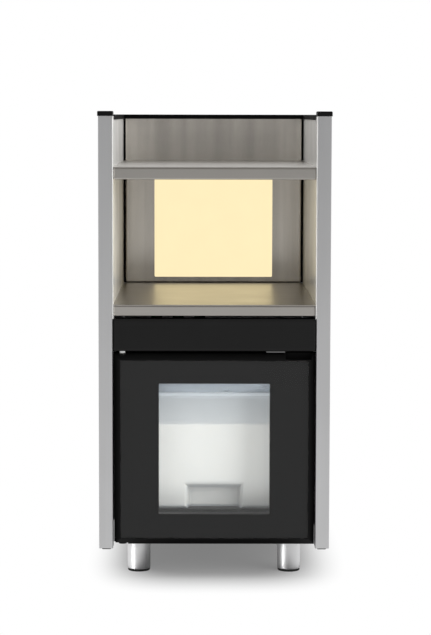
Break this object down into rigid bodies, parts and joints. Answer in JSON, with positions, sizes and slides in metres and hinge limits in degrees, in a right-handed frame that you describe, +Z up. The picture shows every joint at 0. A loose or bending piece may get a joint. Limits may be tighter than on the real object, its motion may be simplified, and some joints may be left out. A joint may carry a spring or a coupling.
{
  "type": "milk cooler with cup warmer",
  "caption": "Upright counter unit with open heated cup shelves between metal posts, a back-lit rear panel and a glass-fronted milk cooler below, on round feet.",
  "frame": {"origin": "middle of the case's plan, on the floor under the feet", "axes": "+X to the right seen from the door, +Y to the back, +Z up"},
  "size_m": [0.3238, 0.452, 0.6531],
  "materials": {
    "satin_aluminium": "satin",
    "polished_stainless": "polished",
    "brushed_stainless": "satin",
    "galvanised_steel": "matte",
    "bright_steel": "polished",
    "black_trim": "satin",
    "black_moulding": "satin",
    "black_bezel": "matte",
    "door_glass": "gloss",
    "opal_diffuser": "satin",
    "white_enamel": "satin",
    "grey_liner": "satin",
    "circuit_board": "satin",
    "heater_silicone": "matte",
    "foam": "matte",
    "ceramic_module": "matte",
    "milk_polypropylene": "satin",
    "seal_rubber": "matte",
    "foot_rubber": "matte",
    "nylon": "satin",
    "brass_pin": "polished",
    "supply_case": "matte"
  },
  "bodies": {
    "cabinet": {"back_panel": "polished_stainless", "base_pan": "galvanised_steel", "catch_plate": "bright_steel", "cold_plate": "satin_aluminium", "compartment_liner": "grey_liner", "container_lid": "milk_polypropylene", "control_board": "circuit_board", "cooler_casing": "galvanised_steel", "cooling_module": "ceramic_module", "fan_housing": "black_moulding", "fascia": "black_moulding", "feet": "satin_aluminium", "foot_pads": "foot_rubber", "foot_studs": "bright_steel", "front_bezel": "black_bezel", "front_crossbar": "galvanised_steel", "heat_sink": "satin_aluminium", "heater_mats": "heater_silicone", "hinge_pins": "bright_steel", "inlet_pins": "brass_pin", "insulation": "foam", "interior_lamp": "grey_liner", "left_front_post": "satin_aluminium", "left_inner_panel": "polished_stainless", "left_outer_panel": "brushed_stainless", "light_board": "circuit_board", "light_diffuser": "opal_diffuser", "light_tray": "white_enamel", "lower_hinge_plate": "bright_steel", "lower_shelf_frame": "brushed_stainless", "lower_shelf_plate": "brushed_stainless", "milk_container": "milk_polypropylene", "milk_line_duct": "black_bezel", "post_caps": "black_trim", "post_plugs": "black_trim", "power_inlet": "black_moulding", "power_supply": "supply_case", "rear_cover": "brushed_stainless", "rear_cover_screws": "bright_steel", "rear_posts": "satin_aluminium", "rear_rails": "galvanised_steel", "rear_trim": "black_trim", "right_front_post": "satin_aluminium", "right_inner_panel": "polished_stainless", "right_outer_panel": "brushed_stainless", "shelf_rivets": "bright_steel", "switch_housing": "black_moulding", "upper_hinge_plate": "bright_steel", "upper_shelf_cover": "brushed_stainless", "upper_shelf_frame": "brushed_stainless", "upper_shelf_plate": "brushed_stainless", "wall_trims": "black_trim"},
    "door": {"door_frame": "black_moulding", "door_glass": "door_glass", "door_liner": "black_bezel", "door_inner_pane": "door_glass", "door_gasket": "seal_rubber", "hinge_bushes": "nylon"},
    "fan": {"fan_rotor": "black_moulding"},
    "rocker": {"switch_rocker": "black_moulding"}
  },
  "joints": [
    {"name": "door_swing", "type": "hinge", "parent": "cabinet", "child": "door", "pos_m": [-0.12818, -0.212, 0.18315], "axis": [0, 0, -1], "range_deg": [0, 90]},
    {"name": "fan_spin", "type": "hinge", "parent": "cabinet", "child": "fan", "pos_m": [0, 0.1185, 0.1914], "axis": [0, 1, 0], "continuous": true},
    {"name": "rocker_tip", "type": "hinge", "parent": "cabinet", "child": "rocker", "pos_m": [0.054, 0.2142, 0.1114], "axis": [-1, 0, 0], "range_deg": [0, 20]}
  ]
}
